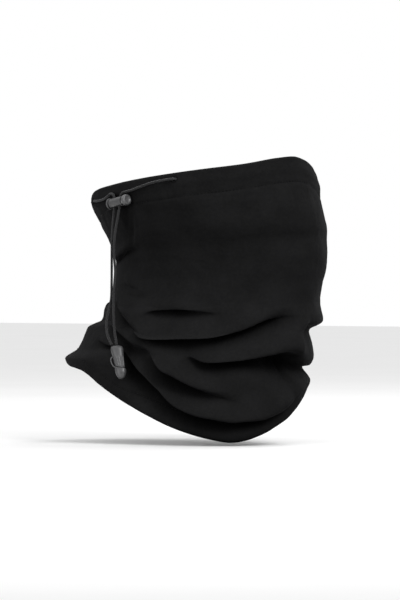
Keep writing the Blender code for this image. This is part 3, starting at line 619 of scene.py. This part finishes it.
def softbox(name, place_at, aim, size, power):
    data = bpy.data.lights.new(name, "AREA")
    data.shape = "DISK"
    data.size = size
    data.energy = power
    lamp = bpy.data.objects.new(name, data)
    bpy.context.scene.collection.objects.link(lamp)
    lamp.location = place_at
    lamp.rotation_euler = (Vector(place_at) - Vector(aim)).to_track_quat("Z", "Y").to_euler()


def make_stage(back):
    world_light = bpy.data.worlds.new("studio")
    bpy.context.scene.world = world_light
    world_light.use_nodes = True
    tree = world_light.node_tree
    background = tree.nodes["Background"]
    background.inputs["Color"].default_value = (1.0, 1.0, 1.0, 1.0)
    upward = node(tree, "ShaderNodeSeparateXYZ", {0: node(tree, "ShaderNodeTexCoord").outputs["Generated"]})
    dome = node(tree, "ShaderNodeMapRange", {"Value": upward.outputs["Z"], "From Min": -0.12, "From Max": 0.75,
                                             "To Min": DOME_LOW, "To Max": DOME_HIGH}).outputs["Result"]
    seen = node(tree, "ShaderNodeLightPath").outputs["Is Camera Ray"]
    tree.links.new(node(tree, "ShaderNodeMix", {0: seen, 2: dome, 3: 1.0}).outputs[0], background.inputs["Strength"])
    softbox("key", back * 1.1 + SIDE * 0.8 + UP * 0.95, STAGE_AIM, 0.7, 11.0)
    softbox("fill", back * 1.3 - SIDE * 0.9 + UP * 0.4, STAGE_AIM, 0.9, 7.0)
    softbox("rim_light", -back * 0.8 + SIDE * 0.6 + UP * 1.2, STAGE_AIM, 0.7, 6.0)
    corners = [(x * FLOOR_HALF, y * FLOOR_HALF, -FLOOR_DROP) for x, y in ((-1, -1), (1, -1), (1, 1), (-1, 1))]
    mesh = bpy.data.meshes.new("floor")
    mesh.from_pydata(corners, [], [(0, 1, 2, 3)])
    floor = add("floor", mesh, floor_finish())
    floor.visible_diffuse = False
    bpy.context.scene.view_settings.view_transform = "Standard"


# ---- the cords ----

def free_cord(name, node_name, route, finish):
    side_deep_up = smooth_path(route, 0.00032)
    path = world(side_deep_up / MM)
    piece = braided(name, path, finish)
    stand_for(piece, "gaiter", node_name)


def channel_cord(finish):
    start, stop = CORD_ENDS_AT["front"][0] + 3.2, CORD_ENDS_AT["back"][0] + 360.0 - 3.2
    angles = np.linspace(start, stop, 140)
    path = world(wall_point(angles, rim(angles) - CORD_DROP, CORD_INSET) - relief_shift(angles))
    path = smooth_path(path, 0.00036)
    piece = braided("drawcord_in_channel", path, finish)
    stand_for(piece, "gaiter", "channel_cord")


def relief_shift(angles):
    """What the small shapes add along the cord's line, taken back so that the cord runs straight in its channel."""
    heights = rim(angles) - CORD_DROP
    return outward(angles, heights) * relief(angles, heights)[..., None]


# ---- the cloth ----

def fine_cloth(points, directions):
    """The brushed face's own unevenness, from noise in space."""
    moved = points.copy()
    flat, ways = moved.reshape(-1, 3), directions.reshape(-1, 3)
    for k, p in enumerate(flat.tolist()):
        where = Vector(p)
        flat[k] += ways[k] * sum(share * NAP * noise.noise(where / cell) for share, cell in NAP_CELLS)
    return moved


def fleece_wall(finish):
    angles = SEAM_ANGLE + np.arange(COLUMNS) * 360.0 / COLUMNS
    top, bottom = rim(angles), hem(angles)
    share = np.linspace(0.0, 1.0, OUTER_ROWS)[:, None]
    heights = (top - LIP) + (bottom + HEM_LIP - top + LIP) * share
    across = np.broadcast_to(angles, heights.shape)
    ways = outward(across, heights)
    outer = fine_cloth(wall_point(across, heights), ways)
    turn = (np.arange(1, LIP_ROWS) * np.pi / LIP_ROWS)[:, None, None]
    top_lip = outer[0] - ways[0] * LIP * (1 - np.cos(turn)) + UP * LIP * np.sin(turn)
    hem_lip = outer[-1] - ways[-1] * HEM_LIP * (1 - np.cos(turn)) - UP * HEM_LIP * np.sin(turn)
    inner_share = np.linspace(0.0, 1.0, INNER_ROWS)[:, None]
    inner_top, inner_foot = outer[0, :, 2] - INNER_EDGE, outer[-1, :, 2] + INNER_EDGE
    inner_heights = inner_top + (inner_foot - outer[0, :, 2] + INNER_EDGE) * inner_share
    out = np.einsum("rck,rck->rc", outer - section(across, outer[..., 2]), ways)
    inner_out = np.empty_like(inner_heights)
    for row, level_heights in enumerate(inner_heights):
        near = np.abs(outer[..., 2] - level_heights) < INNER_NEAR
        inner_out[row] = np.where(near, out, NO_FOLD).min(axis=0)
    for _ in range(INNER_PASSES):
        around = (np.roll(inner_out, 1, axis=1) + np.roll(inner_out, -1, axis=1)) / 2
        padded = np.vstack([inner_out[:1], inner_out, inner_out[-1:]])
        beside = (padded[:-2] + padded[2:]) / 2
        inner_out = np.minimum(inner_out, (inner_out * 2 + around + beside) / 4)
    inner_angles = np.broadcast_to(angles, inner_heights.shape)
    inner_ways = outward(inner_angles, inner_heights)
    inner = section(inner_angles, inner_heights) + inner_ways * (inner_out - WALL)[..., None]
    tuck_top = outer[0] - ways[0] * 2 * LIP - UP * np.array([0.0, 1.2])[:, None, None]
    tuck_hem = outer[-1] - ways[-1] * 2 * HEM_LIP + UP * np.array([1.2, 0.0])[:, None, None]
    loop = np.concatenate([outer, hem_lip, tuck_hem[::-1], inner[::-1], tuck_top[::-1], top_lip[::-1]])
    piece = add("fleece_wall", grid_mesh("fleece_wall", world(loop), loop_rows=True), finish)
    stand_for(piece, "gaiter", "neck_tube")
    return piece


def band(name, node_name, profile, edge, sign, finish):
    """A turned layer round the inside of one hem; the profile is (distance from the edge, inset)."""
    angles = SEAM_ANGLE + np.arange(COLUMNS) * 360.0 / COLUMNS
    profile = rounded(profile, 0.5, 3)
    rings = []
    for distance, inset in profile:
        heights = edge(angles) + sign * distance
        keep = relief(angles, heights) * 0.6
        rings.append(wall_point(angles, heights, inset + keep))
    rings = np.array(rings)
    piece = add(name, grid_mesh(name, world(rings), loop_rows=True), finish)
    stand_for(piece, "gaiter", node_name)
    return piece


def top_facing(finish):
    near, far, thick = 2 * LIP - 1.25, WALL + 4.2, 1.25
    outer_side = [(1.6, near), (3.2, near + 0.3), (5.5, far - 0.6), (8.0, far), (13.0, far), (16.0, far - 1.2),
                  (19.0, near + 0.4), (CHANNEL - 0.6, near)]
    inner_side = [(d, i + thick) for d, i in reversed(outer_side)]
    return band("channel_facing", "top_hem_facing", outer_side + inner_side, rim, -1, finish)


def hem_facing(finish):
    near, thick = 2 * HEM_LIP - 1.3, 1.3
    outer_side = [(1.8, near), (5.0, near), (8.0, near), (HEM_DEPTH - 0.4, near)]
    inner_side = [(d, i + thick) for d, i in reversed(outer_side)]
    return band("chest_hem_facing", "bottom_hem_facing", outer_side + inner_side, hem, 1, finish)


def stitches(name, node_name, line, outs, finish):
    """Separate stitches along a line of points on the cloth, each dipping in at its ends."""
    lengths = np.concatenate([[0.0], np.cumsum(np.linalg.norm(np.diff(line, axis=0), axis=1))])
    verts, faces = [], []
    sides, rings = 6, 7
    turn = full_turn(sides)
    for k in range(int(lengths[-1] / STITCH_PITCH)):
        spots = (k + np.linspace(0.08, 0.92, rings)) * STITCH_PITCH
        path = np.stack([np.interp(spots, lengths, line[:, a]) for a in range(3)], -1)
        way = np.stack([np.interp(spots, lengths, outs[:, a]) for a in range(3)], -1)
        way /= np.linalg.norm(way, axis=1, keepdims=True)
        rise = np.sin(np.linspace(0, np.pi, rings)) ** 0.6
        path = path + way * (rise[:, None] * 0.7 - 0.62)
        ahead = path[-1] - path[0]
        ahead /= np.linalg.norm(ahead)
        cross = np.cross(ahead, way)
        thick = STITCH_RADIUS * (0.55 + 0.45 * rise)[:, None, None]
        ring = path[:, None] + thick * (np.cos(turn)[None, :, None] * way[:, None]
                                        + np.sin(turn)[None, :, None] * cross[:, None])
        base = len(verts)
        verts.extend(ring.reshape(-1, 3))
        for r in range(rings - 1):
            for s in range(sides):
                n = (s + 1) % sides
                faces.append((base + r * sides + s, base + r * sides + n, base + (r + 1) * sides + n,
                              base + (r + 1) * sides + s))
        faces.append([base + s for s in reversed(range(sides))])
        faces.append([base + (rings - 1) * sides + s for s in range(sides)])
    mesh = bpy.data.meshes.new(name)
    mesh.from_pydata(world(np.array(verts)).tolist(), [], faces)
    bm = bmesh.new()
    bm.from_mesh(mesh)
    bmesh.ops.recalc_face_normals(bm, faces=bm.faces)
    bm.to_mesh(mesh)
    bm.free()
    mesh.shade_smooth()
    stand_for(add(name, mesh, finish), "gaiter", node_name)


def edge_stitches(name, node_name, edge, offset, finish):
    angles = np.linspace(0.0, 360.0, 1400) + SEAM_ANGLE
    heights = edge(angles) + offset
    stitches(name, node_name, wall_point(angles, heights, -0.15), outward(angles, heights), finish)


def nape_seam(finish):
    """Flatlock seam: a thread that zigzags over the butted edges."""
    heights = np.linspace(rim(SEAM_ANGLE) - CHANNEL - 2, hem(SEAM_ANGLE) + HEM_DEPTH + 2, 150)
    swing = 1.15 * np.where(np.arange(len(heights)) % 2, 1.0, -1.0)
    path = world(wall_point(SEAM_ANGLE + swing, heights, -0.25))
    path = smooth_path(path, 0.0004)
    mesh = grid_mesh("nape_seam", tube_points(path, 0.27 * MM, 6), caps=True)
    stand_for(add("nape_seam", mesh, finish), "gaiter", "nape_seam_thread")


def eyelet(name, finish):
    """A buttonhole eyelet: a ring wrapped closely in thread."""
    angle, height = CORD_ENDS_AT[name]
    way_out = Vector(world(outward(angle, height)) / MM)
    centre = Vector(world(wall_point(angle, height, -0.25)))
    frame_here = Matrix.Translation(centre) @ way_out.to_track_quat("Z", "Y").to_matrix().to_4x4()
    around, across, wraps = 240, 12, 40
    t, s = full_turn(around), full_turn(across)
    thick = 0.72 + 0.09 * np.cos(wraps * t)[:, None] + 0 * s
    ring = 2.3 + thick * np.cos(s)
    points = np.stack([ring * np.cos(t)[:, None], ring * np.sin(t)[:, None], 0.8 * thick * np.sin(s)], -1) * MM
    piece = add("wrapped_eyelet_" + name, grid_mesh("wrapped_eyelet_" + name, points, loop_rows=True), finish,
                frame_here)
    stand_for(piece, "gaiter", "eyelet_" + name)


def care_label(finish):
    """Blank woven label, sewn in at the nape."""
    columns, rows = 25, 46
    u = np.linspace(-1, 1, columns)
    v = np.linspace(0, 1, rows)
    angles = SEAM_ANGLE + LABEL_HALF * u + 0 * v[:, None]
    heights = LABEL_TOP - LABEL_TALL * v[:, None] + 0 * u
    inset = WALL + 2.6 + 1.1 * v[:, None] ** 2 + 0.5 * np.sin(3.0 * u + 4 * v[:, None]) * v[:, None]
    front = wall_smooth(angles, heights, inset)
    back = wall_smooth(angles, heights, inset + LABEL_THICK)
    ring = np.concatenate([front, back[:, ::-1]], axis=1)
    piece = add("care_label_blank", grid_mesh("care_label_blank", world(ring), caps=True), finish)
    stand_for(piece, "gaiter", "care_label")


def wall_smooth(angle, height, inset):
    """Like wall_point, for a piece that follows the folds only in part."""
    out, down = folds(angle, height)
    moved_out = outward(angle, height) * (out * 0.6 - inset)[..., None]
    return section(angle, height) + moved_out + 0.18 * down[..., None] * UP


# ---- barrel lock ----

def lock_frame():
    """Z along the barrel towards the button, origin at the retainer's outer face."""
    level_share = math.cos(LOCK_TILT)
    z = direction(math.cos(LOCK_TURN) * level_share, -math.sin(LOCK_TURN) * level_share, math.sin(LOCK_TILT))
    y = z.cross(direction(*STRAND_LEAN, 1.0)).normalized()
    rotation = Matrix((y.cross(z), y, z)).transposed().to_4x4()
    return Matrix.Translation(Vector(world(LOCK_CENTRE)) - z * LOCK_CENTRE_AT * MM) @ rotation


def slot_shape(frame_here, start, stop, finish):
    """Cutter for a slot with round ends, along the strands and right through the barrel."""
    radius = SLOT_WIDTH / 2
    outline = []
    for centre, turn in ((stop - radius, -90), (start + radius, 90)):
        for k in range(13):
            angle = math.radians(turn + 15.0 * k)
            outline.append((centre + radius * math.cos(angle), radius * math.sin(angle)))
    z, y = (np.array(frame_here.col[k].to_3d()) for k in (2, 1))
    strand = np.array(direction(*STRAND_LEAN, 1.0))
    origin = np.array(frame_here.translation)
    rings = [[origin + z * a * MM + y * b * MM + strand * h * MM for a, b in outline] for h in (9.0, -9.0)]
    return add("slot_shape", grid_mesh("slot_shape", rings, caps=True), finish)


def cord_lock(finish, painted_light_button_finish, steel):
    """Barrel, button with its stem, and flange; each profile is (radius, place along the barrel)."""
    here = lock_frame()
    body = [(3.05, 16.4), (3.75, 16.4), (3.75, 17.9), (4.1, 17.9), (4.1, 15.6), (3.98, 15.5), (3.98, 15.2),
            (4.1, 15.1), (4.14, 10.0), (4.1, 4.2), (3.95, 4.1), (3.95, 3.8), (4.1, 3.7), (4.0, 2.5), (3.05, 2.5)]
    housing = turned("lock_barrel", rounded(body, 0.28, 3), finish, here)
    cut_with(housing, slot_shape(here, *SLOT, finish))
    plunger = [(0.02, 22.9), (1.2, 22.95), (2.3, 23.35), (3.2, 23.75), (4.1, 23.5), (4.7, 22.6), (4.72, 21.4),
               (4.6, 20.0), (3.8, 20.0), (3.8, 21.3), (2.8, 21.3), (2.8, 1.7), (0.02, 1.7)]
    # The button takes a paler copy of the plastic: painted light for its brightly lit face
    button = turned("lock_button_cap", rounded(plunger, 0.55, 4), painted_light_button_finish, here)
    cut_with(button, slot_shape(here, SLOT[0], SLOT[1] + BUTTON_TRAVEL, painted_light_button_finish))
    flange = [(0.02, 1.3), (4.85, 1.3), (4.9, 0.45), (4.3, 0.0), (1.4, 0.0), (1.1, 0.25), (0.02, 0.25)]
    retainer = turned("lock_flange", rounded(flange, 0.3, 3), finish, here)
    stand_for(housing, "lock", "lock_housing")
    stand_for(button, "lock_button", "lock_plunger")
    stand_for(retainer, "lock_button", "lock_retainer")
    spring = frame["nodes"]["lock_spring"]
    spring.data.materials.clear()
    spring.data.materials.append(steel)
    return [housing, button, retainer]


# ---- cord end ----

def end_frame():
    """Origin at the cord end's hinge point, X along the hinge line, Z up the piece."""
    z = direction(-math.sin(END_LEAN), math.sin(END_OUT), math.cos(END_LEAN))
    x = direction(1, 0, 0)
    x = (x - z * x.dot(z)).normalized()
    rotation = Matrix((x, z.cross(x), z)).transposed().to_4x4()
    return Matrix.Translation(Vector(world(END_HINGE))) @ rotation


def oval(turn, power=0.8):
    c, s = np.cos(turn), np.sin(turn)
    return np.sign(c) * np.abs(c) ** power, np.sign(s) * np.abs(s) ** power


def mouth_line(turn):
    """How the joint between shell and cap rises and slants round the piece."""
    return 0.35 * np.cos(turn) ** 2 - 0.95 * np.cos(turn)


def end_shell(finish, here):
    """Hollow shell with two rounded shoulders, fluted in its lower half and cut in a curve at the bottom."""
    turn = full_turn(END_COLUMNS)
    ox, oy = oval(turn)
    z = np.linspace(SHELL_FOOT, SHELL_TOP, SHELL_ROWS)[::-1]
    # (height, half width, half depth, lean)
    outer = curve_through([(SHELL_TOP, 4.1, 2.5, 0.0), (-2.2, 4.7, 3.1, 0.0), (-3.2, 5.2, 3.7, 0.0),
                           (-4.6, 5.3, 3.9, 0.0), (-12.0, 4.55, 3.75, 0.5), (-20.4, 3.8, 3.5, 1.0),
                           (SHELL_FOOT, 3.6, 3.35, END_LEANS)], z)
    ribs = np.clip((-z - 10.5) / 2.0, 0, 1) * np.clip((z + 20.9) / 0.8, 0, 1)
    groove = FLUTE_DEPTH * ribs[:, None] * (0.5 + 0.5 * np.cos(FLUTES * turn)) ** 0.6
    x = END_AXIS_X + outer[:, 2:3] + ox * (outer[:, 0:1] - groove)
    y = oy * (outer[:, 1:2] - groove)
    rise = mouth_line(turn)
    drop = np.clip((-z - 16.0) / 5.4, 0, 1)[:, None]
    outside = np.stack([x, y, z[:, None] + rise * drop], -1)
    shoulder = []
    for shrink, lift in ((0.96, 0.12), (0.88, 0.3), (0.72, 0.45), (0.5, 0.4), (0.25, 0.1), (0.04, 0.0)):
        px, py = END_AXIS_X + ox * 4.1 * shrink, oy * 2.5 * shrink
        bumps = sum(bell(np.hypot(px - sx, py * 0.8), 1.9) for sx in STRAND_X)
        shoulder.append(np.stack([px, py, SHELL_TOP + lift + 0.95 * bumps - 0.3], -1))
    inside = []
    for height, hx, hy, lean in ((SHELL_FOOT, 3.0, 2.6, END_LEANS), (-12.0, 3.6, 2.8, 0.5), (-5.0, 4.3, 3.0, 0.0),
                                 (-4.2, 3.6, 2.4, 0.0), (-4.0, 0.05, 0.04, 0.0)):
        inside.append(np.stack([END_AXIS_X + lean + ox * hx, oy * hy, height + rise * (height < -20)], -1))
    closed = np.concatenate([np.array(shoulder)[::-1], outside, np.array(inside)]) * MM
    return add("cord_end_body", grid_mesh("cord_end_body", closed, caps=True), finish, here)


def end_cap(finish, here):
    """Hollow cap, pointed at its foot, whose mouth follows the shell's."""
    turn = full_turn(END_COLUMNS)
    ox, oy = oval(turn)
    z = np.linspace(CAP_FOOT, CAP_TOP, CAP_ROWS)[::-1]
    size = curve_through([(CAP_TOP, 4.3, 3.6), (-22.8, 4.8, 4.0), (-25.6, 4.6, 3.9), (-29.0, 3.3, 3.0),
                          (-30.6, 2.4, 2.2), (CAP_FOOT, 1.3, 1.2)], z)
    rise = mouth_line(turn) * np.clip((z + 26.0) / 4.0, 0, 1)[:, None]
    middle = END_AXIS_X + END_LEANS
    outside = np.stack([middle + ox * size[:, 0:1], oy * size[:, 1:2], z[:, None] + rise], -1)
    tip = np.stack([middle + ox * 0.1, oy * 0.1, -31.35 + 0 * turn], -1)[None]
    inside = []
    for height, hx, hy in ((-27.3, 0.05, 0.04), (-27.2, 2.2, 1.9), (-25.4, 3.5, 2.8), (-22.0, 3.6, 2.9)):
        inside.append(np.stack([middle + ox * hx, oy * hy, height + mouth_line(turn) * (height > -23)], -1))
    closed = np.concatenate([np.array(inside), outside, tip]) * MM
    return add("cord_end_snap_cap", grid_mesh("cord_end_snap_cap", closed, caps=True), finish, here)


def end_strap(finish, here):
    """Loop on the shell's side, from its middle to just above the cap."""
    route = [(-2.6, 0, -10.4), (-4.2, 0, -11.3), (-4.9, 0, -13.6), (-4.5, 0, -16.2), (-3.3, 0, -18.8),
             (-1.4, 0, -20.8)]
    path = smooth_path(route, 0.25) * MM
    ends = np.linspace(0, 1, len(path))[:, None]
    sides = 14
    wide = (0.5 + 0.14 * np.abs(2 * ends - 1) ** 3) * (1 + 0.1 * np.cos(2 * full_turn(sides)))
    mesh = grid_mesh("cord_end_loop", tube_points(path, wide * MM, sides), caps=True)
    return add("cord_end_loop", mesh, finish, here)


def end_knot(finish, here):
    """The strands' ends inside the shell, tied round each other."""
    spiral = [(END_AXIS_X + 1.35 * math.cos(a), 0.95 * math.sin(a), -12.6 - 0.62 * a)
              for a in np.linspace(0, 9.5, 22)]
    pieces = []
    for k, x in enumerate(STRAND_X):
        inner = END_AXIS_X + (x - END_AXIS_X) * 0.42
        route = [(x, 0, -0.6), (x, 0, -5.5), ((x + inner) / 2, 0, -9.0), (inner, 0, -11.6)]
        route += spiral if k else [(inner, 0.1, -14.0), (END_AXIS_X + 0.2, 0, -17.5)]
        path = smooth_path(route, 0.32) * MM
        radius = CORD / 2 * (1.0 if k else 0.85) * MM
        pieces.append(braided("knotted_strand_%d" % k, path, finish, radius=radius, matrix=here))
    return pieces


def cord_end(plastic, cord_look):
    here = end_frame() @ Matrix.Translation((END_ASIDE * MM, 0.0, 0.0))
    shell, cap, strap = end_shell(plastic, here), end_cap(plastic, here), end_strap(plastic, here)
    knots = end_knot(cord_look, end_frame())
    stand_for(shell, "cord_end", "cord_end_shell")
    stand_for(cap, "end_cap", "cord_end_cap")
    stand_for(strap, "cord_end", "cord_end_strap")
    for piece in knots:
        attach(piece, "cord_end")
    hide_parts("cord_knot")
    return [shell, cap, strap] + knots


# ---- the scene ----

make_stage(make_camera())
BRAID = cord_finish()
SATIN = plastic_finish("satin_plastic", (0.060, 0.060, 0.062), (0.080, 0.080, 0.082), 0.32)
# Paler copy of the satin plastic for the button and its stem: painted light, standing in for the button's brightly
# lit face
PAINTED_LIGHT_BUTTON_SATIN = plastic_finish("satin_plastic_painted_light_button", (0.095, 0.095, 0.098), (0.120, 0.120, 0.123), 0.30)
fittings_on_lock = cord_lock(SATIN, PAINTED_LIGHT_BUTTON_SATIN, steel_finish())
fittings_on_end = cord_end(SATIN, BRAID)
free_cord("drawcord_back_strand", "strand_back", BACK_ROUTE, BRAID)
free_cord("drawcord_front_strand", "strand_front", FRONT_ROUTE, BRAID)
channel_cord(BRAID)

THREAD = thread_finish()
FLEECE = fleece_finish("brushed_fleece", (0.0084, 0.0084, 0.0086), (0.0132, 0.0132, 0.0135), 0.02)
LINING = fleece_finish("brushed_fleece_lining", (0.0076, 0.0076, 0.0078), (0.0120, 0.0120, 0.0123), 0.02)
cloth = fleece_wall(FLEECE)
facings = [top_facing(LINING), hem_facing(LINING)]
edge_stitches("channel_stitches", "top_hem_thread", rim, STITCH_IN - CHANNEL, THREAD)
edge_stitches("chest_hem_stitches", "bottom_hem_thread", hem, HEM_DEPTH - STITCH_IN, THREAD)
nape_seam(THREAD)
for eyelet_name in CORD_ENDS_AT:
    eyelet(eyelet_name, THREAD)
care_label(ribbon_finish())
